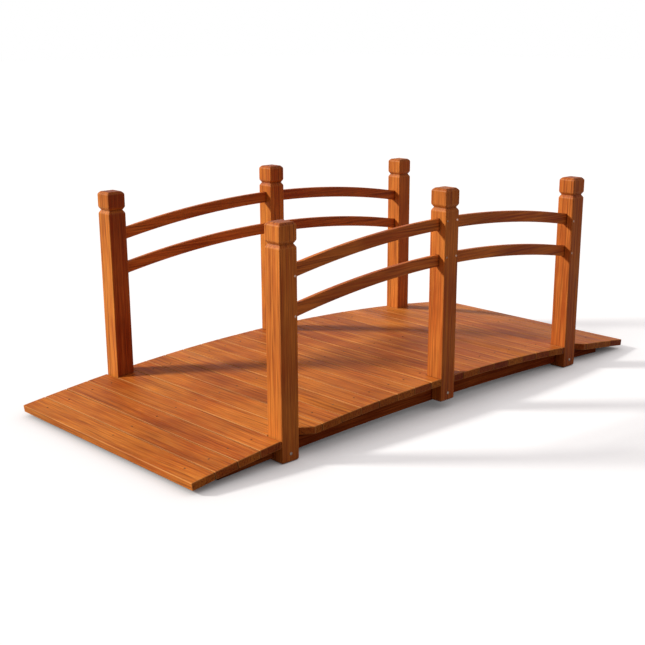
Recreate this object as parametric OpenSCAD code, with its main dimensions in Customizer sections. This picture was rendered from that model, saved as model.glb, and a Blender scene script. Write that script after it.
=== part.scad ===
// Moon bridge: a low arched timber footbridge for a garden, with a railing along each side.
// +X runs along the walkway, +Y across it and +Z up, in millimetres.
// The origin lies on the ground, under the middle of the deck.

/* [Deck] */
// Length of the walking surface, measured level
deck_length = 1500; // [1200:10:2400]
// Width of the deck, along its boards
deck_width = 650; // [450:2:1000]
// Rise of the walking surface from its ends to its middle
deck_rise = 52; // [20:1:110]
// Height of the walking surface's ends above the ground
deck_end_height = 26; // [22:1:60]
// Thickness of a deck board
board_thickness = 17; // [12:0.5:22]
// Number of deck boards
board_count = 26; // [20:2:32]
// Gap between two neighbouring boards
board_gap = 1.5; // [0.5:0.25:6]
// Number of boards between each end post and the end of the deck
boards_past_posts = 4; // [2:1:6]

/* [Posts] */
// Side of a square post
post_side = 46; // [34:1:70]
// Length of a post from its foot to its top
post_length = 501; // [460:1:800]
// Height of the middle posts' feet above the ground
middle_foot_height = 20; // [0:1:40]
// Distance from a post's top down to the middle of its groove
groove_drop = 44; // [30:1:60]
// Width of the groove's mouth
groove_width = 14; // [6:0.5:20]
// Depth of the groove in each face
groove_depth = 4.5; // [2:0.5:8]
// Chamfer round the top of a post
top_chamfer = 5.5; // [2:0.5:12]
// Chamfer round the foot of a post
foot_chamfer = 3; // [1:0.5:8]

/* [Railings] */
// Height of a rail's section
rail_height = 27; // [18:1:40]
// Thickness of a rail
rail_thickness = 12; // [8:1:20]
// Distance from the middle posts' tops down to the upper rails' centre line
upper_rail_drop = 81; // [75:1:115]
// Distance from the upper rails' centre line down to the lower rails' one
rail_drop = 83; // [60:1:140]
// Radius of the arc that the rails' centre lines follow
rail_radius = 2550; // [2200:10:6000]
// Depth of the mortise that takes a rail's end
mortise_depth = 15; // [8:1:18]
// Clearance round a rail's end in its mortise
mortise_clearance = 0.25; // [0.1:0.05:1]

/* [Beams] */
// Thickness of a beam under the deck
beam_thickness = 50; // [24:1:60]
// Distance from the deck's edge in to the outer face of a side beam
beam_inset = 28; // [20:1:36]
// Distance from the end of a beam's full depth to the end of the deck
beam_setback = 85; // [20:1:140]
// Distance from the tip of a beam's thin end to the end of the deck
tip_setback = 14; // [4:1:40]
// Thickness of a beam's thin end, which carries the last boards
tip_thickness = 6; // [4:0.5:12]
// Rise of the beams' lower edge from the ground to its middle
beam_rise = 20; // [10:1:24]
// Clearance between a beam and the housing for it in a post
housing_clearance = 0.3; // [0.1:0.05:0.7]

/* [Notches] */
// Clearance between a post and the boards that are notched round it
notch_clearance = 0.5; // [0.25:0.05:0.7]
// Length of the slanted cut in the board edges beside a front end post
end_cut_length = 47; // [30:1:56]
// Depth of a slanted cut for each unit of its length
cut_slope = 0.94; // [0.4:0.02:1]

/* [Hidden] */
$fn = 360;
wood = "#B86A2E";
dark_wood = "#9A5220";
// The walking surface is an arc through its two ends and its middle
deck_radius = (pow(deck_length / 2, 2) + pow(deck_rise, 2)) / (2 * deck_rise);
arc_height = deck_end_height + deck_rise - deck_radius;
half_angle = asin(deck_length / 2 / deck_radius);
board_step = 2 * half_angle / board_count;
board_width = 2 * deck_radius * tan(board_step / 2) - board_gap;
under_radius = deck_radius - board_thickness;
// The outer face of an end post stands in line with a joint between two boards
post_joint_angle = half_angle - boards_past_posts * board_step;
post_x = under_radius * sin(post_joint_angle) - notch_clearance - post_side / 2;
post_y = (deck_width - post_side) / 2;
side_beam_y = deck_width / 2 - beam_inset - beam_thickness / 2;
beam_half = deck_length / 2 - beam_setback;
tip_half = deck_length / 2 - tip_setback;
// Straight steps that make up each half of a beam's lower edge
beam_steps = 12;
// Rails run from the middle posts to the end posts, and end inside their mortises
rail_from = post_side / 2 - mortise_depth;
rail_to = post_x - post_side / 2 + mortise_depth;
upper_rail_height = middle_foot_height + post_length - upper_rail_drop;
rail_heights = [upper_rail_height, upper_rail_height - rail_drop];
// More than any size of the bridge, for shapes that only cut others
reach = 2 * (deck_length + post_length);

LENGTHS = ["left", "middle", "right"];
SIDES = ["front", "back"];
LEVELS = ["upper", "lower"];
HALVES = ["left", "right"];
BEAMS = ["front_beam", "centre_beam", "back_beam"];

// Height of a beam's lower edge at a share of the way from its middle to its end
function lower_edge(share) = beam_rise * (1 - pow(share, 2));
function board_name(i) = str("deck_board_", i < 10 ? "0" : "", i);
function post_name(side, place) = str("post_", SIDES[side], "_", LENGTHS[place]);
function rail_name(level, side, half) = str(LEVELS[level], "_rail_", SIDES[side], "_", HALVES[half]);

// An arc of rail, seen from the front, with its ends cut upright
module rail_arc(height, centre, from, to) {
    intersection() {
        translate([0, centre - rail_radius])
            difference() {
                circle(r = rail_radius + height / 2);
                circle(r = rail_radius - height / 2);
            }
        translate([from, 0])
            square([to - from, reach]);
    }
}

// The solid of one rail on the right half of the bridge, or the space that it takes up in a post
module rail_form(centre, clearance) {
    rotate([90, 0, 0])
        linear_extrude(height = rail_thickness + 2 * clearance, center = true)
            rail_arc(rail_height + 2 * clearance, centre, rail_from - clearance, rail_to + clearance);
}

module on_half(half) {
    mirror([1 - half, 0, 0])
        children();
}

module rail(level, side, half) {
    color(dark_wood)
        translate([0, (2 * side - 1) * post_y, 0])
            on_half(half)
                rail_form(rail_heights[level], 0);
}

// One side view of a post: chamfered foot, plain shaft, groove and chamfered top
module post_outline() {
    half = post_side / 2;
    groove = post_length - groove_drop;
    right_edge = [
        [half - foot_chamfer, 0],
        [half, foot_chamfer],
        [half, groove - groove_width / 2],
        [half - groove_depth, groove],
        [half, groove + groove_width / 2],
        [half, post_length - top_chamfer],
        [half - top_chamfer, post_length]
    ];
    left_edge = [for (i = [len(right_edge) - 1 : -1 : 0]) [-right_edge[i][0], right_edge[i][1]]];
    polygon(concat(right_edge, left_edge));
}

// The post's outline taken across and along gives the same groove and chamfers on all four faces
module post_blank() {
    intersection_for(turn = [0, 90])
        rotate([90, 0, turn])
            linear_extrude(height = post_side, center = true)
                post_outline();
}

module post(side, place) {
    row = (2 * side - 1) * post_y;
    foot = place == 1 ? middle_foot_height : 0;
    color(wood)
        difference() {
            translate([(place - 1) * post_x, row, foot])
                post_blank();
            for (half = [0, 1]) for (centre = rail_heights)
                translate([0, row, 0])
                    on_half(half)
                        rail_form(centre, mortise_clearance);
            housing(side, place);
        }
}

// The space that a side beam takes up in a post, which under a middle post is open at the foot
module housing(side, place) {
    lower_gap = place == 1 ? reach / 2 : housing_clearance;
    translate([0, (2 * side - 1) * side_beam_y, 0])
        rotate([90, 0, 0])
            linear_extrude(height = beam_thickness + 2 * housing_clearance, center = true)
                beam_outline(housing_clearance, lower_gap);
}

// All that lies below the boards, seen from the front, with a flat under each board
module below_boards(gap) {
    corner_radius = (under_radius + gap) / cos(board_step / 2);
    joints = [for (k = [0 : board_count]) (k - board_count / 2) * board_step];
    polygon(concat(
        [[-reach, -reach]],
        [for (angle = joints) [corner_radius * sin(angle), arc_height + corner_radius * cos(angle)]],
        [[reach, -reach]]
    ));
}

// All that lies above a beam's slightly arched lower edge and between its ends
module above_lower_edge(gap) {
    shares = [for (k = [-beam_steps : beam_steps]) k / beam_steps];
    polygon(concat(
        [[-beam_half, reach]],
        [for (share = shares) [beam_half * share, lower_edge(share) - gap]],
        [[beam_half, reach]]
    ));
}

// The full depth of a beam, seen from the front, with a gap above and below
module beam_outline(upper_gap, lower_gap) {
    intersection() {
        below_boards(upper_gap);
        above_lower_edge(lower_gap);
    }
}

// The strip of a beam that lies close under the boards and reaches to its thin ends, above the ground
module tip_outline() {
    intersection() {
        difference() {
            below_boards(0);
            below_boards(-tip_thickness);
        }
        translate([-tip_half, 0])
            square([2 * tip_half, reach]);
    }
}

module beam(row) {
    color(dark_wood)
        translate([0, row, 0])
            rotate([90, 0, 0])
                linear_extrude(height = beam_thickness, center = true) {
                    beam_outline(0, 0);
                    tip_outline();
                }
}

// The upright space that a post takes up in the deck, which at an end post is open towards that end
module post_notch(side, place) {
    size = post_side + 2 * notch_clearance;
    open_length = abs(place - 1) * board_width;
    translate([(place - 1) * (post_x + open_length / 2), (2 * side - 1) * post_y, 0])
        linear_extrude(height = reach, center = true)
            square([size + open_length, size], center = true);
}

// The slanted cut beside a front end post, on its right
module slanted_cut(place) {
    past_edge = post_side / 2;
    past_length = past_edge / cut_slope;
    translate([(place - 1) * post_x + post_side / 2, -deck_width / 2, 0])
        linear_extrude(height = reach, center = true)
            polygon([
                [0, -past_edge],
                [end_cut_length + past_length, -past_edge],
                [0, end_cut_length * cut_slope]
            ]);
}

// Boards are counted from the left end, and each lies square to the arc
module deck_board(i) {
    angle = (i - (board_count + 1) / 2) * board_step;
    between_posts = i > boards_past_posts && i <= board_count - boards_past_posts;
    color(wood)
        difference() {
            translate([0, 0, arc_height])
                rotate([0, angle, 0])
                    translate([-board_width / 2, -deck_width / 2, under_radius])
                        cube([board_width, deck_width, board_thickness]);
            for (place = [0, 2])
                slanted_cut(place);
            if (between_posts) for (place = [0 : 2]) for (side = [0, 1])
                post_notch(side, place);
        }
}

for (i = [1 : board_count]) deck_board(i);
for (k = [0 : 2]) beam((k - 1) * side_beam_y);
for (side = [0, 1]) for (place = [0 : 2])
    post(side, place);
for (level = [0, 1]) for (side = [0, 1]) for (half = [0, 1])
    rail(level, side, half);
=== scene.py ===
import math
import random
from functools import partial

import bmesh
import bpy
from bpy.props import FloatProperty, FloatVectorProperty, PointerProperty
from mathutils import Matrix, Vector
from mathutils.bvhtree import BVHTree


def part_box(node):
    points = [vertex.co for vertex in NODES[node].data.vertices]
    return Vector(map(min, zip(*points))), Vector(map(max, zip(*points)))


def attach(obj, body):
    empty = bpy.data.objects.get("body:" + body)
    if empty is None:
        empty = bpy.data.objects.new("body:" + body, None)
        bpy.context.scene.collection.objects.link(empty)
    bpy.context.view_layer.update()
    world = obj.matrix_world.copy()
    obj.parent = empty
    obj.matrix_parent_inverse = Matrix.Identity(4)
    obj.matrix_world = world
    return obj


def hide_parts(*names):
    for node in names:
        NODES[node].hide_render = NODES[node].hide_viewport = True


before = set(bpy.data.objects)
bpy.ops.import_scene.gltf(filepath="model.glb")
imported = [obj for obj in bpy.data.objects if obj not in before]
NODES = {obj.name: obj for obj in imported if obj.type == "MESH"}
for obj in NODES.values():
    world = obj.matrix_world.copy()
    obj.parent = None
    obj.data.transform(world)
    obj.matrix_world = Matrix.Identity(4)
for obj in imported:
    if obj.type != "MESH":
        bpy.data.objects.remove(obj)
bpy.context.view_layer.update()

bl_info = {
    "name": "Moon bridge",
    "version": (1, 0, 0),
    "blender": (4, 5, 0),
    "location": "3D View > Sidebar > Moon bridge",
    "description": "Dresses a low arched timber footbridge in stained softwood and sets it on a stage",
    "category": "Object",
}

BOARDS = sorted(name for name in NODES if name.startswith("deck_board_"))
BEAMS = sorted(name for name in NODES if name.endswith("_beam"))
POSTS = sorted(name for name in NODES if name.startswith("post_"))
RAILS = sorted(name for name in NODES if "_rail_" in name)
# Painted light on single pieces, as shifts in tone: first of most faces, paler for a painted sheen,
# then of the faces to the walkway, deeper for painted shade
PAINTED_SHEEN_AND_SHADE_SHIFTS = {
    "post_back_left": (0.2, -0.36),
    "post_back_middle": (0.2, 0),
    "post_back_right": (0, -0.12),
    "upper_rail_back_right": (0, -0.18),
    "lower_rail_back_right": (0, -0.18),
}


def linear(hex_colour):
    """An sRGB hex colour as linear red, green and blue."""
    values = [int(hex_colour[i:i + 2], 16) / 255 for i in (1, 3, 5)]
    return tuple(v / 12.92 if v <= 0.04045 else ((v + 0.055) / 1.055) ** 2.4 for v in values)


def length(name, description, default):
    """A size in metres, for the panel."""
    return FloatProperty(name=name, description=description, default=default,
                         min=0, unit="LENGTH", precision=4)


def angle(name, description, degrees):
    """An angle, for the panel."""
    return FloatProperty(name=name, description=description, default=math.radians(degrees), subtype="ANGLE")


def colour(name, description, hex_colour):
    """A colour, for the panel."""
    return FloatVectorProperty(name=name, description=description, default=linear(hex_colour),
                               min=0, max=1, size=3, subtype="COLOR")


class BridgeSizes(bpy.types.PropertyGroup):
    board_edge: length("Board edge", "Radius that eases the edges of a deck board", 0.0016)
    board_scatter: length("Board scatter", "How far the ends and tops of boards differ", 0.0007)
    post_edge: length("Post edge", "Radius that eases the outer edges of a post", 0.0018)
    rail_edge: length("Rail edge", "Radius that eases the edges of a rail", 0.0022)
    beam_edge: length("Beam edge", "Radius that eases the edges of a beam", 0.0015)
    nail_head: length("Nail head", "Diameter of a deck nail's head", 0.0042)
    nail_dome: length("Nail dome", "Height of a deck nail's head", 0.0004)
    nail_inset: length("Nail inset", "Distance from the deck's edge to the outer rows of nails", 0.0630)
    nail_stray_along: length("Nail stray along", "How far a nail strays along the bridge", 0.0050)
    nail_stray_across: length("Nail stray across", "How far a nail strays across the bridge", 0.0060)
    screw_head: length("Screw head", "Diameter of a rail screw's pan head", 0.0052)
    screw_dome: length("Screw dome", "Height of a rail screw's head", 0.0017)
    screw_inset: length("Screw inset", "Distance from a post's side to the rail screws in it", 0.0065)
    screw_drop: length("Screw drop", "Distance from a rail's top down to its screw in a middle post", 0.0050)
    screw_rise: length("Screw rise", "Distance from a rail's bottom up to its screw in an end post", 0.0125)
    cross_width: length("Cross width", "Width of the driver's cross in a screw", 0.0012)
    cross_reach: length("Cross reach", "Distance from a screw's middle to the end of its cross", 0.0021)
    cross_depth: length("Cross depth", "Depth of the driver's cross in a screw", 0.0009)
    bolt_head: length("Bolt head", "Diameter of the domed bolt in a post's foot", 0.0074)
    bolt_dome: length("Bolt dome", "Height of that bolt's head", 0.0024)
    bolt_height: length("Bolt height", "Height of that bolt above the post's foot", 0.0190)


class BridgeColours(bpy.types.PropertyGroup):
    earlywood: colour("Earlywood", "Stained pale wood between the growth rings", "#D88232")
    heart: colour("Heartwood", "Stained deeper wood in the broad streaks", "#B25A1E")
    latewood: colour("Latewood", "Stained dark lines of the growth rings", "#7C3812")
    rubbed: colour("Rubbed edge", "Wood where the stain is rubbed thin on an edge", "#DF9D58")
    zinc: colour("Zinc", "Zinc plating on the rail screws", "#D9BBAA")
    zinc_dull: colour("Dull zinc", "Rail screws where the zinc has gone dull", "#8A6850")
    bolt: colour("Bolt", "Weathered zinc on the foot bolts", "#9A887C")
    bolt_dull: colour("Dull bolt", "Foot bolts where the zinc is worn", "#6E5C51")
    nail_steel: colour("Nail steel", "Steel of the nails, under a brown film of stain", "#8F5C2E")
    nail_brown: colour("Nail brown", "Nail steel where stain has run over it", "#2E1A0C")
    floor: colour("Floor", "Floor that the bridge stands on", "#E6E4E0")
    fill: colour("Fill", "Tint of the light from all round", "#FFE7EC")


class BridgeStage(bpy.types.PropertyGroup):
    aim: FloatVectorProperty(name="Aim", description="Point that the camera's axis passes through",
                             default=(-0.0596, -0.0042, 0.0942), size=3, subtype="XYZ", unit="LENGTH")
    distance: length("Distance", "Distance from that point to the camera", 2.7959)
    azimuth: angle("Azimuth", "Turn of the camera about the upright, from the front", -43.79)
    elevation: angle("Elevation", "Angle that the camera looks down at", 15.87)
    roll: angle("Roll", "Turn of the camera about its own axis", -0.06)
    lens: FloatProperty(name="Lens", description="Focal length on a 36 mm sensor",
                        default=62.1, min=1, unit="CAMERA")
    shift_x: FloatProperty(name="Shift X", description="Sideways lens shift", default=-0.02)
    shift_y: FloatProperty(name="Shift Y", description="Upright lens shift", default=0.04)
    key_level: FloatProperty(name="Key", description="Strength of the key light", default=3.8, min=0)
    key_spread: angle("Key spread", "Width of the key light, as an angle", 9)
    key_travel: FloatVectorProperty(name="Key travel", description="Direction that the key light travels in",
                                    default=(1.07, -1, -0.82), size=3, subtype="DIRECTION")
    fill_level: FloatProperty(name="Fill", description="Strength of the light from all round",
                              default=0.3, min=0)


def add_node(tree, kind, inputs=None, **settings):
    """Adds one node with its settings, and feeds its inputs from values or from other nodes."""
    made = tree.nodes.new("ShaderNode" + kind)
    for key, value in settings.items():
        setattr(made, key, value)
    for key, value in (inputs or {}).items():
        if isinstance(value, bpy.types.NodeSocket):
            tree.links.new(value, made.inputs[key])
        else:
            made.inputs[key].default_value = value
    return made


def along_grain(tree, place, along_mm, across_mm, detail, roughness=0.5):
    """Noise drawn out along the grain, from the real length and width of its streaks."""
    per_metre = (1000 / along_mm, 1000 / across_mm, 1000 / across_mm)
    scaled = add_node(tree, "VectorMath", {0: place, 1: per_metre}, operation="MULTIPLY").outputs[0]
    return add_node(tree, "TexNoise", {"Vector": scaled, "Scale": 1, "Detail": detail,
                                       "Roughness": roughness}).outputs


def softwood_figure(tree, grain, ring_mm, streak_mm):
    """The figure of straight-grained softwood, as named values from none to full."""
    # The grain wanders by a few millimetres over half a metre
    wander = along_grain(tree, grain, 500, 120, 1)["Color"]
    path = add_node(tree, "VectorMath", {0: wander, 1: (0, 0.018, 0.018), 2: grain},
                    operation="MULTIPLY_ADD").outputs[0]

    # A wave of scale 1 repeats every 0.314 units, so this gives one ring for each ring_mm
    stretched = add_node(tree, "VectorMath", {0: path, 1: (0.06, 1, 1)}, operation="MULTIPLY").outputs[0]
    rings = add_node(tree, "TexWave", {"Vector": stretched, "Scale": 314 / ring_mm, "Distortion": 3,
                                       "Detail": 2, "Detail Scale": 0.6, "Detail Roughness": 0.5},
                     wave_type="RINGS", rings_direction="X", wave_profile="SAW").outputs["Fac"]
    late = add_node(tree, "MapRange", {"Value": rings, "From Min": 0.5, "From Max": 1},
                    interpolation_type="SMOOTHSTEP").outputs[0]

    # Streaks of resin-rich wood are a few millimetres wide and about a hand long
    resin = along_grain(tree, path, 210, 5, 3)["Fac"]
    resin = add_node(tree, "MapRange", {"Value": resin, "From Min": 0.5, "From Max": 0.72, "To Max": 0.75},
                     interpolation_type="SMOOTHSTEP").outputs[0]
    streaks = along_grain(tree, path, 260, streak_mm, 3, 0.6)["Fac"]
    streaks = add_node(tree, "MapRange", {"Value": streaks, "From Min": 0.34, "From Max": 0.66},
                       interpolation_type="SMOOTHSTEP").outputs[0]
    threads = along_grain(tree, path, 120, 3.2, 2)["Fac"]
    threads = add_node(tree, "MapRange", {"Value": threads, "From Min": 0.36, "From Max": 0.64}).outputs[0]

    # Real fibres are well under 0.1 mm wide, and are drawn at 1.5 mm so that they show
    fibres = along_grain(tree, path, 45, 1.5, 2)["Fac"]
    blotches = along_grain(tree, grain, 160, 70, 2)["Fac"]
    return {"late": late, "resin": resin, "streaks": streaks, "threads": threads,
            "fibres": fibres, "blotches": blotches}


def softwood_colour(tree, figure, colours, ring_depth):
    """Colour from earlywood to the deeper streaks, then down to the dark ring lines and resin."""
    # The brush leaves more stain in some places than in others, over a hand's breadth or two
    place = add_node(tree, "TexCoord").outputs["Object"]
    brushed = add_node(tree, "TexNoise", {"Vector": place, "Scale": 1000 / 170, "Detail": 2}).outputs["Fac"]
    brushed = add_node(tree, "MapRange", {"Value": brushed, "From Min": 0.3, "From Max": 0.7,
                                          "To Min": -0.4, "To Max": 0.4}).outputs[0]
    mixed = add_node(tree, "Mix", {0: 0.5, 2: figure["streaks"], 3: figure["threads"]}).outputs[0]
    mixed = add_node(tree, "Math", {0: mixed, 1: brushed}, operation="ADD", use_clamp=True).outputs[0]
    body = add_node(tree, "Mix", {0: mixed, 6: (*colours.earlywood, 1), 7: (*colours.heart, 1)},
                    data_type="RGBA").outputs[2]
    faint = add_node(tree, "Math", {0: figure["late"], 1: figure["blotches"]},
                     operation="MULTIPLY").outputs[0]
    faint = add_node(tree, "Math", {0: faint, 1: ring_depth}, operation="MULTIPLY").outputs[0]
    line = add_node(tree, "Math", {0: faint, 1: figure["resin"]}, operation="MAXIMUM").outputs[0]
    return add_node(tree, "Mix", {0: line, 6: body, 7: (*colours.latewood, 1)}, data_type="RGBA").outputs[2]


def stain_and_shade_depth(tree, figure, tone, end, alone):
    """Lightness from the stain over fibres, blotches, the piece's own tone and end grain, and painted shade
    in grooves and corners.
    """
    fibre_gain = add_node(tree, "MapRange", {"Value": figure["fibres"], "From Min": 0.25, "From Max": 0.75,
                                             "To Min": 0.78, "To Max": 1.18}).outputs[0]
    blotch_gain = add_node(tree, "MapRange", {"Value": figure["blotches"], "From Min": 0.25, "From Max": 0.75,
                                              "To Min": 0.82, "To Max": 1.16}).outputs[0]
    tone_gain = add_node(tree, "MapRange", {"Value": tone, "To Min": 0.6, "To Max": 1.4}).outputs[0]
    end_gain = add_node(tree, "MapRange", {"Value": end, "To Min": 1, "To Max": 0.62}).outputs[0]
    # Painted shade: the colour goes darker within 8 mm of grooves and corners, and on a post only in its own
    # grooves
    clear = add_node(tree, "AmbientOcclusion", {"Distance": 0.008}, samples=8, only_local=alone).outputs["AO"]
    painted_shade_gain = add_node(tree, "MapRange", {"Value": clear, "From Min": 0.55, "From Max": 0.95,
                                             "To Min": 0.4, "To Max": 1}).outputs[0]
    gain = fibre_gain
    for factor in (blotch_gain, tone_gain, end_gain, painted_shade_gain):
        gain = add_node(tree, "Math", {0: gain, 1: factor}, operation="MULTIPLY").outputs[0]
    return gain


def stained_softwood(name, colours, ring_mm, streak_mm, ring_depth, rub, rough, sheen,
                     redness=0, alone=False):
    """Stained softwood that was sawn and planed.

    The planer leaves straight growth rings and fibres that run along the piece. The stain was brushed on
    and sinks in unevenly, so broad amber and brown streaks follow the grain, resin and rings stay as crisp
    dark lines, end grain goes darker, and handled edges are rubbed paler. Grooves and corners are darkened
    as a painted shade.
    """
    material = bpy.data.materials.get(name)
    if material:
        return material
    material = bpy.data.materials.new(name)
    material.use_nodes = True
    tree = material.node_tree
    shader = tree.nodes["Principled BSDF"]
    grain = add_node(tree, "Attribute", attribute_name="grain").outputs["Vector"]
    tone = add_node(tree, "Attribute", attribute_name="tone").outputs["Fac"]
    worn = add_node(tree, "Attribute", attribute_name="worn").outputs["Fac"]
    end = add_node(tree, "Attribute", attribute_name="end").outputs["Fac"]
    figure = softwood_figure(tree, grain, ring_mm, streak_mm)

    # A dark piece is redder than a light one, and end grain is redder still
    hue = add_node(tree, "MapRange", {"Value": tone, "To Min": 0.486 - redness,
                                      "To Max": 0.511 - redness}).outputs[0]
    hue = add_node(tree, "Math", {0: end, 1: -0.008, 2: hue}, operation="MULTIPLY_ADD").outputs[0]
    depth = stain_and_shade_depth(tree, figure, tone, end, alone)
    body = softwood_colour(tree, figure, colours, ring_depth)
    toned = add_node(tree, "HueSaturation", {"Hue": hue, "Value": depth, "Color": body})
    thin = add_node(tree, "Math", {0: worn, 1: rub}, operation="MULTIPLY").outputs[0]
    thin = add_node(tree, "Math", {0: thin, 1: figure["blotches"]}, operation="MULTIPLY").outputs[0]
    rubbed = add_node(tree, "Mix", {0: thin, 6: toned.outputs[0], 7: (*colours.rubbed, 1)}, data_type="RGBA")
    tree.links.new(rubbed.outputs[2], shader.inputs["Base Color"])

    # Rings and fibres stand a tenth of a millimetre proud of the planed face
    relief = add_node(tree, "Math", {0: figure["late"], 1: figure["fibres"]}, operation="ADD").outputs[0]
    bump = add_node(tree, "Bump", {"Strength": 0.35, "Distance": 0.0003, "Height": relief})
    tree.links.new(bump.outputs[0], shader.inputs["Normal"])
    gloss = add_node(tree, "MapRange", {"Value": figure["fibres"], "From Min": 0.25, "From Max": 0.75,
                                        "To Min": rough - 0.07, "To Max": rough + 0.09})
    tree.links.new(gloss.outputs[0], shader.inputs["Roughness"])
    shader.inputs["IOR"].default_value = 1.5
    shader.inputs["Specular IOR Level"].default_value = sheen
    return material


def plated_steel(name, bright, dull, rough, cloud_mm):
    """Steel fastener with a thin skin on it.

    Plating and the marks of the driver leave a satin metal that is bright in places and cloudy in others.
    """
    material = bpy.data.materials.get(name)
    if material:
        return material
    material = bpy.data.materials.new(name)
    material.use_nodes = True
    tree = material.node_tree
    shader = tree.nodes["Principled BSDF"]
    place = add_node(tree, "TexCoord").outputs["Object"]
    clouds = add_node(tree, "TexNoise", {"Vector": place, "Scale": 1000 / cloud_mm,
                                         "Detail": 3}).outputs["Fac"]
    clear = add_node(tree, "MapRange", {"Value": clouds, "From Min": 0.35, "From Max": 0.65}).outputs[0]
    skin = add_node(tree, "Mix", {0: clear, 6: (*dull, 1), 7: (*bright, 1)}, data_type="RGBA")
    tree.links.new(skin.outputs[2], shader.inputs["Base Color"])
    gloss = add_node(tree, "MapRange", {"Value": clear, "To Min": rough + 0.15, "To Max": rough})
    tree.links.new(gloss.outputs[0], shader.inputs["Roughness"])
    # Real scratches are finer, and are drawn 0.4 mm wide so that they show
    scratch = add_node(tree, "TexNoise", {"Vector": place, "Scale": 1000 / 0.4, "Detail": 1}).outputs["Fac"]
    bump = add_node(tree, "Bump", {"Strength": 0.2, "Distance": 0.0001, "Height": scratch})
    tree.links.new(bump.outputs[0], shader.inputs["Normal"])
    shader.inputs["Metallic"].default_value = 1
    return material


def finished_piece(name, bm, material):
    """Turns an edited mesh into a piece of the bridge."""
    mesh = bpy.data.meshes.new(name)
    bm.to_mesh(mesh)
    bm.free()
    mesh.materials.append(material)
    piece = bpy.data.objects.new(name, mesh)
    bpy.context.scene.collection.objects.link(piece)
    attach(piece, "root")
    return piece


def dress(node, material, axis, edge, pith, tone, eased=None, change=None):
    """Stands a copy of a node with eased edges in its place, with its grain along one axis."""
    bm = bmesh.new()
    bm.from_mesh(NODES[node].data)
    bmesh.ops.remove_doubles(bm, verts=bm.verts, dist=1e-6)
    bmesh.ops.dissolve_limit(bm, angle_limit=math.radians(0.2), verts=bm.verts, edges=bm.edges)
    if change:
        change(bm)
    worn = bm.faces.layers.float.new("worn")
    end = bm.faces.layers.float.new("end")
    shade = bm.faces.layers.float.new("tone")
    grain = bm.verts.layers.float_vector.new("grain")
    low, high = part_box(node)
    centre = (low + high) / 2
    edges = [e for e in bm.edges if len(e.link_faces) == 2 and e.calc_face_angle() > math.radians(20)]
    if eased:
        edges = [e for e in edges if eased(e, centre)]
    made = bmesh.ops.bevel(bm, geom=edges, offset=edge, offset_type="OFFSET", segments=3, profile=0.5,
                           affect="EDGES", clamp_overlap=True)
    for face in made["faces"]:
        face[worn] = 1
    bm.normal_update()
    # End grain differs more from piece to piece than the long faces do
    end_tone = tone + random.Random(node).uniform(-0.3, 0.7)
    # On these pieces the tone paints light: paler on most faces for a painted sheen, deeper on faces to the
    # walkway for painted shade
    shift, painted_shade_shift = PAINTED_SHEEN_AND_SHADE_SHIFTS.get(node, (0, 0))
    for face in bm.faces:
        across = abs(face.normal[axis])
        to_walkway = -face.normal.y * centre.y > 0.9 * abs(centre.y)
        # Faces that cut across the grain, as in a groove or a chamfer, count as part end grain
        face[end] = min(1, max(0, (across - 0.45) / 0.55))
        side_tone = tone + (painted_shade_shift if to_walkway else shift)
        face[shade] = end_tone if across > 0.95 else side_tone
    order = [axis] + [i for i in (0, 1, 2) if i != axis]
    for vert in bm.verts:
        away = vert.co - centre
        vert[grain] = Vector([away[i] for i in order]) + pith
    piece = finished_piece("dressed_" + node, bm, material)
    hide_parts(node)


def heads(name, material, places, profile, steps, recess=None):
    """One mesh of turned heads, with a profile of radius and height spun at each place, facing outward."""
    bm = bmesh.new()
    for point, outward, turn in places:
        basis = outward.to_track_quat("Z", "Y").to_matrix().to_4x4()
        place = Matrix.Translation(point) @ basis @ Matrix.Rotation(turn, 4, "Z")
        rows = []
        for radius, height in profile:
            row = []
            for k in range(steps):
                around = 2 * math.pi * k / steps
                spot = Vector((radius * math.cos(around), radius * math.sin(around), height))
                if recess:
                    spot.z -= recess(spot.x, spot.y)
                row.append(bm.verts.new(place @ spot))
            rows.append(row)
        for inner, outer in zip(rows, rows[1:]):
            for k in range(steps):
                j = (k + 1) % steps
                bm.faces.new((inner[k], outer[k], outer[j], inner[j]))
        bm.faces.new(rows[0])
        bm.faces.new(list(reversed(rows[-1])))
    bmesh.ops.recalc_face_normals(bm, faces=bm.faces)
    mesh = finished_piece(name, bm, material).data
    mesh.polygons.foreach_set("use_smooth", [True] * len(mesh.polygons))
    mesh.set_sharp_from_angle(angle=math.radians(35))


def domed(diameter, rise):
    """Profile of a domed head with a low rim, from its middle to a little below the surface it sits on."""
    radius, rim, below = diameter / 2, rise / 4, 0.0006
    shares = (0.06, 0.2, 0.35, 0.5, 0.65, 0.8, 0.92, 1)
    over = [(radius * s, rim + (rise - rim) * math.sqrt(1 - s * s)) for s in shares]
    return over + [(radius, -below)]


def scatter(bm, half_width, near, far, lift):
    """Moves a board's two ends and its height by a little, as hand-laid boards differ."""
    for vert in bm.verts:
        if vert.co.y > half_width - 1e-4:
            vert.co.y += far
        elif vert.co.y < 1e-4 - half_width:
            vert.co.y -= near
        vert.co.z += lift


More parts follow.
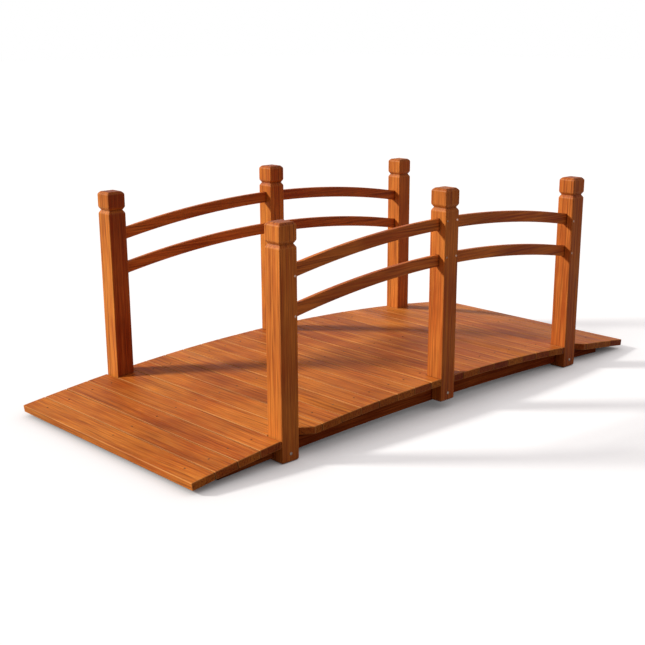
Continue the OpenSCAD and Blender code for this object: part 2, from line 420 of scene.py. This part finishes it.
class BRIDGE_OT_deck_boards(bpy.types.Operator):
    """Dress the planed deck boards, whose grain runs across the bridge"""
    bl_idname = "bridge.deck_boards"
    bl_label = "Deck boards"

    def execute(self, context):
        sizes = context.scene.bridge_sizes
        wood = stained_softwood("softwood_planed_stained_deck", context.scene.bridge_colours, ring_mm=7,
                                streak_mm=11, ring_depth=0.5, rub=0.8, rough=0.52, sheen=0.07)
        half_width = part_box(BOARDS[0])[1].y
        for board in BOARDS:
            chance = random.Random(board)
            near, far, lift = (chance.uniform(-1, 0) * sizes.board_scatter for _ in range(3))
            change = partial(scatter, half_width=half_width, near=near, far=far, lift=0.6 * lift)
            pith = Vector((chance.uniform(0, 9), chance.choice((-1, 1)) * chance.uniform(0.05, 0.14),
                           chance.uniform(-0.05, 0.02)))
            tone = chance.uniform(0.4, 0.58)
            dress(board, wood, 1, sizes.board_edge, pith, tone, change=change)
        return {"FINISHED"}


class BRIDGE_OT_beams(bpy.types.Operator):
    """Dress the three sawn beams under the deck"""
    bl_idname = "bridge.beams"
    bl_label = "Beams"

    def execute(self, context):
        sizes = context.scene.bridge_sizes
        wood = stained_softwood("softwood_sawn_stained_beam", context.scene.bridge_colours, ring_mm=6,
                                streak_mm=8, ring_depth=0.8, rub=0.2, rough=0.62, sheen=0.02)
        for beam in BEAMS:
            chance = random.Random(beam)
            pith = Vector((chance.uniform(0, 9), chance.uniform(0.05, 0.09), chance.uniform(-0.03, 0.03)))
            # Painted shade: the beams' tone is kept very low for the shade they lie in under the deck
            tone = chance.uniform(0, 0.06)
            dress(beam, wood, 0, sizes.beam_edge, pith, tone)
        return {"FINISHED"}


class BRIDGE_OT_posts(bpy.types.Operator):
    """Dress the six grooved posts, whose grain runs upright"""
    bl_idname = "bridge.posts"
    bl_label = "Posts"

    def execute(self, context):
        sizes = context.scene.bridge_sizes
        wood = stained_softwood("softwood_planed_stained_post", context.scene.bridge_colours, ring_mm=6,
                                streak_mm=9, ring_depth=0.45, rub=0.2, rough=0.5, sheen=0.11,
                                redness=0.002, alone=True)
        for post in POSTS:
            chance = random.Random(post)
            pith = Vector((chance.uniform(0, 9), chance.uniform(0.05, 0.09), chance.uniform(0.05, 0.09)))
            tone = chance.uniform(0.48, 0.56)
            dress(post, wood, 2, sizes.post_edge, pith, tone, eased=self.outer_edge)
        return {"FINISHED"}

    def outer_edge(self, edge, centre):
        """Whether an edge runs between two corners of the square section, and is no edge of a mortise."""
        at_corners = all(abs(abs(v.co.x - centre.x) - abs(v.co.y - centre.y)) < 2e-4 for v in edge.verts)
        return edge.is_convex and at_corners


class BRIDGE_OT_rails(bpy.types.Operator):
    """Dress the arched rails"""
    bl_idname = "bridge.rails"
    bl_label = "Rails"

    def execute(self, context):
        sizes = context.scene.bridge_sizes
        wood = stained_softwood("softwood_planed_stained_rail", context.scene.bridge_colours, ring_mm=6,
                                streak_mm=6, ring_depth=0.45, rub=0.15, rough=0.5, sheen=0.11, redness=0.006)
        for rail in RAILS:
            chance = random.Random(rail)
            pith = Vector((chance.uniform(0, 9), chance.uniform(0.04, 0.08), chance.uniform(-0.04, 0.04)))
            tone = chance.uniform(0.55, 0.62)
            dress(rail, wood, 0, sizes.rail_edge, pith, tone)
        return {"FINISHED"}


class BRIDGE_OT_nails(bpy.types.Operator):
    """Drive one nail through each deck board into each beam"""
    bl_idname = "bridge.nails"
    bl_label = "Deck nails"

    def execute(self, context):
        sizes, colours = context.scene.bridge_sizes, context.scene.bridge_colours
        steel = plated_steel("steel_nail_stained_over", colours.nail_steel, colours.nail_brown,
                             rough=0.45, cloud_mm=9)
        chance = random.Random("nails")
        along, across = sizes.nail_stray_along, sizes.nail_stray_across
        places = []
        for board in BOARDS:
            mesh = NODES[board].data
            tree = BVHTree.FromPolygons([v.co for v in mesh.vertices], [p.vertices for p in mesh.polygons])
            low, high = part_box(board)
            for beam in BEAMS:
                beam_low, beam_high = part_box(beam)
                side = round(beam_low.y + beam_high.y, 3)
                row = math.copysign(high.y - sizes.nail_inset, side) if side else 0
                x = (low.x + high.x) / 2 + chance.uniform(-along, along)
                y = row + chance.uniform(-across, across)
                point, normal, _, _ = tree.ray_cast(Vector((x, y, 1)), Vector((0, 0, -1)))
                if point is None:
                    raise RuntimeError("no board under a nail in " + board)
                if beam_low.x < x < beam_high.x:
                    places.append((point, normal, chance.uniform(0, 3)))
        heads("deck_nails", steel, places, domed(sizes.nail_head, sizes.nail_dome), 16)
        return {"FINISHED"}


class BRIDGE_OT_rail_screws(bpy.types.Operator):
    """Fix each rail end with a screw through the outer face of its post"""
    bl_idname = "bridge.rail_screws"
    bl_label = "Rail screws"

    def execute(self, context):
        sizes, colours = context.scene.bridge_sizes, context.scene.bridge_colours
        zinc = plated_steel("steel_zinc_plated_screw", colours.zinc, colours.zinc_dull,
                            rough=0.3, cloud_mm=40)
        chance = random.Random("screws")
        places = []
        for rail in RAILS:
            low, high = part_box(rail)
            for post in POSTS:
                post_low, post_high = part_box(post)
                overlap = min(high.x, post_high.x) - max(low.x, post_low.x)
                if overlap <= 0 or (post_low.y + post_high.y) * low.y < 0:
                    continue
                side = 1 if low.y > 0 else -1
                to_right = low.x + high.x > post_low.x + post_high.x
                x = post_high.x - sizes.screw_inset if to_right else post_low.x + sizes.screw_inset
                at_crown = abs(post_low.x + post_high.x) < 0.01
                z = high.z - sizes.screw_drop if at_crown else low.z + sizes.screw_rise
                face = post_high.y if side > 0 else post_low.y
                places.append((Vector((x, face, z)), Vector((0, side, 0)), chance.uniform(0, 3)))
        if len(places) != 2 * len(RAILS):
            raise RuntimeError("a rail end has no post to screw to")

        def cross(x, y):
            """Depth of the driver's cross in the head at one point."""
            inside = min(abs(x), abs(y)) < sizes.cross_width / 2 and max(abs(x), abs(y)) < sizes.cross_reach
            return sizes.cross_depth if inside else 0

        heads("rail_screws", zinc, places, domed(sizes.screw_head, sizes.screw_dome), 40, cross)
        return {"FINISHED"}


class BRIDGE_OT_foot_bolts(bpy.types.Operator):
    """Set the domed bolt that holds each post's foot to the beam behind it"""
    bl_idname = "bridge.foot_bolts"
    bl_label = "Foot bolts"

    def execute(self, context):
        sizes, colours = context.scene.bridge_sizes, context.scene.bridge_colours
        zinc = plated_steel("steel_zinc_weathered_bolt", colours.bolt, colours.bolt_dull,
                            rough=0.42, cloud_mm=4)
        places = []
        for post in POSTS:
            low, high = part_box(post)
            side = 1 if low.y > 0 else -1
            face = high.y if side > 0 else low.y
            point = Vector(((low.x + high.x) / 2, face, low.z + sizes.bolt_height))
            places.append((point, Vector((0, side, 0)), 0))
        heads("foot_bolts", zinc, places, domed(sizes.bolt_head, sizes.bolt_dome), 32)
        return {"FINISHED"}


class BRIDGE_OT_stage(bpy.types.Operator):
    """Set up the floor, the light and the camera"""
    bl_idname = "bridge.stage"
    bl_label = "Stage"

    def execute(self, context):
        scene = context.scene
        stage, colours = scene.bridge_stage, scene.bridge_colours
        self.floor(scene, colours)
        self.light(scene, stage, colours)
        self.camera(scene, stage)
        scene.view_settings.view_transform = "Standard"
        return {"FINISHED"}

    def seen(self, tree):
        """One where the camera sees a surface straight, in a gloss or through glass, else none."""
        path = add_node(tree, "LightPath").outputs
        direct = add_node(tree, "Math", {0: path["Is Camera Ray"], 1: path["Is Glossy Ray"]},
                          operation="MAXIMUM").outputs[0]
        return add_node(tree, "Math", {0: direct, 1: path["Is Transmission Ray"]},
                        operation="MAXIMUM").outputs[0]

    def floor(self, scene, colours):
        """Lays a floor of matte paper, shown near white to the eye and dimmer to the bridge above it."""
        material = bpy.data.materials.new("paper_matte_pale_floor")
        material.use_nodes = True
        tree = material.node_tree
        tree.nodes.clear()
        seen = self.seen(tree)
        # Paper has a faint mottle
        mottle = add_node(tree, "TexNoise", {"Scale": 1000 / 60, "Detail": 2}).outputs["Fac"]
        dim = tuple(0.97 * v for v in colours.floor)
        pale = add_node(tree, "Mix", {0: mottle, 6: (*dim, 1), 7: (*colours.floor, 1)},
                        data_type="RGBA").outputs[2]
        share = add_node(tree, "MapRange", {"Value": seen, "To Min": 0.35, "To Max": 0.65}).outputs[0]
        matte = add_node(tree, "HueSaturation", {"Value": share, "Color": pale}).outputs[0]
        paper = add_node(tree, "BsdfDiffuse", {"Color": matte})
        # Close under the deck the glow fades as a painted shade, so the joints between boards look dark from
        # above
        open_floor = add_node(tree, "AmbientOcclusion", {"Distance": 0.12}, samples=8).outputs["AO"]
        lit = add_node(tree, "Math", {0: seen, 1: open_floor}, operation="MULTIPLY").outputs[0]
        glow_level = add_node(tree, "MapRange", {"Value": lit, "To Min": 0, "To Max": 0.62}).outputs[0]
        glow = add_node(tree, "Emission", {"Strength": glow_level})
        both = add_node(tree, "AddShader", {0: paper.outputs[0], 1: glow.outputs[0]})
        add_node(tree, "OutputMaterial", {"Surface": both.outputs[0]})
        bm = bmesh.new()
        bmesh.ops.create_grid(bm, x_segments=1, y_segments=1, size=30)
        mesh = bpy.data.meshes.new("floor")
        bm.to_mesh(mesh)
        bm.free()
        mesh.materials.append(material)
        floor = bpy.data.objects.new("floor", mesh)
        floor.location.z = -0.0005
        scene.collection.objects.link(floor)

    def light(self, scene, stage, colours):
        """Lights the bridge with one broad key light from the back left and a soft fill from all round."""
        key = bpy.data.lights.new("key", "SUN")
        key.energy = stage.key_level
        key.angle = stage.key_spread
        lamp = bpy.data.objects.new("key", key)
        travel = Vector(stage.key_travel)
        lamp.rotation_euler = travel.to_track_quat("-Z", "Y").to_euler()
        lamp.location = -3 * travel
        scene.collection.objects.link(lamp)
        world = bpy.data.worlds.new("studio")
        world.use_nodes = True
        scene.world = world
        tree = world.node_tree
        seen = self.seen(tree)
        level = add_node(tree, "MapRange", {"Value": seen, "To Min": stage.fill_level,
                                            "To Max": 1}).outputs[0]
        tint = add_node(tree, "Mix", {0: seen, 6: (*colours.fill, 1), 7: (1, 1, 1, 1)},
                        data_type="RGBA").outputs[2]
        tree.links.new(tint, tree.nodes["Background"].inputs["Color"])
        tree.links.new(level, tree.nodes["Background"].inputs["Strength"])

    def camera(self, scene, stage):
        """Stands the camera where the photograph was taken from."""
        azimuth, elevation = stage.azimuth, stage.elevation
        right = Vector((math.cos(azimuth), math.sin(azimuth), 0))
        level_back = Vector((math.sin(azimuth), -math.cos(azimuth), 0))
        back = math.cos(elevation) * level_back + math.sin(elevation) * Vector((0, 0, 1))
        up = back.cross(right)
        turn = Matrix((right, up, back)).transposed().to_4x4() @ Matrix.Rotation(stage.roll, 4, "Z")
        lens = bpy.data.cameras.new("camera")
        lens.sensor_width = 36
        lens.lens = stage.lens
        lens.shift_x = stage.shift_x
        lens.shift_y = stage.shift_y
        lens.clip_end = 100
        camera = bpy.data.objects.new("camera", lens)
        camera.matrix_world = Matrix.Translation(Vector(stage.aim) + stage.distance * back) @ turn
        scene.collection.objects.link(camera)
        scene.camera = camera


OPERATORS = (BRIDGE_OT_deck_boards, BRIDGE_OT_beams, BRIDGE_OT_posts, BRIDGE_OT_rails,
             BRIDGE_OT_nails, BRIDGE_OT_rail_screws, BRIDGE_OT_foot_bolts, BRIDGE_OT_stage)


class BRIDGE_PT_pieces(bpy.types.Panel):
    bl_idname = "BRIDGE_PT_pieces"
    bl_label = "Moon bridge"
    bl_space_type = "VIEW_3D"
    bl_region_type = "UI"
    bl_category = "Moon bridge"

    def draw(self, context):
        for operator in OPERATORS:
            self.layout.operator(operator.bl_idname)
        for group in (context.scene.bridge_sizes, context.scene.bridge_colours, context.scene.bridge_stage):
            box = self.layout.box()
            for key in group.bl_rna.properties.keys():
                if key not in ("rna_type", "name"):
                    box.prop(group, key)


CLASSES = (BridgeSizes, BridgeColours, BridgeStage, *OPERATORS, BRIDGE_PT_pieces)


def register():
    for cls in CLASSES:
        bpy.utils.register_class(cls)
    bpy.types.Scene.bridge_sizes = PointerProperty(type=BridgeSizes)
    bpy.types.Scene.bridge_colours = PointerProperty(type=BridgeColours)
    bpy.types.Scene.bridge_stage = PointerProperty(type=BridgeStage)


def unregister():
    del bpy.types.Scene.bridge_stage
    del bpy.types.Scene.bridge_colours
    del bpy.types.Scene.bridge_sizes
    for cls in reversed(CLASSES):
        bpy.utils.unregister_class(cls)


def main():
    register()
    bpy.ops.bridge.deck_boards()
    bpy.ops.bridge.beams()
    bpy.ops.bridge.posts()
    bpy.ops.bridge.rails()
    bpy.ops.bridge.nails()
    bpy.ops.bridge.rail_screws()
    bpy.ops.bridge.foot_bolts()
    bpy.ops.bridge.stage()


if __name__ == "__main__":
    main()
